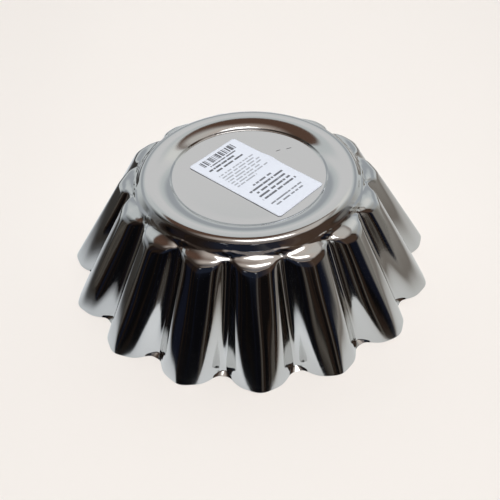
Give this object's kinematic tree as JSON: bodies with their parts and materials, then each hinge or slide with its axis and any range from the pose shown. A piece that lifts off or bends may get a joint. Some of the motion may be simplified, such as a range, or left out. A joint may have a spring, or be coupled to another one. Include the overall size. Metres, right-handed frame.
{
  "type": "fluted baking mould",
  "caption": "Round flared baking mould of bright tinplate with deep flutes, a closed sunk base inside a raised foot ring, and a paper label on the base.",
  "frame": {"origin": "centre of the open mouth, on the plane that the trimmed rim rests on", "axes": "+Z from the mouth to the closed base, which is on top because the mould stands mouth down; one crest of the flutes lies on the -Y side"},
  "size_m": [0.2238, 0.2226, 0.07],
  "materials": {
    "tinplate": "bright drawn tinplate, mirror-like with fine draw marks",
    "label_paper": "smooth matt coated paper"
  },
  "bodies": {
    "root": {"fluted_shell": "tinplate", "paper_label": "label_paper"}
  },
  "joints": []
}
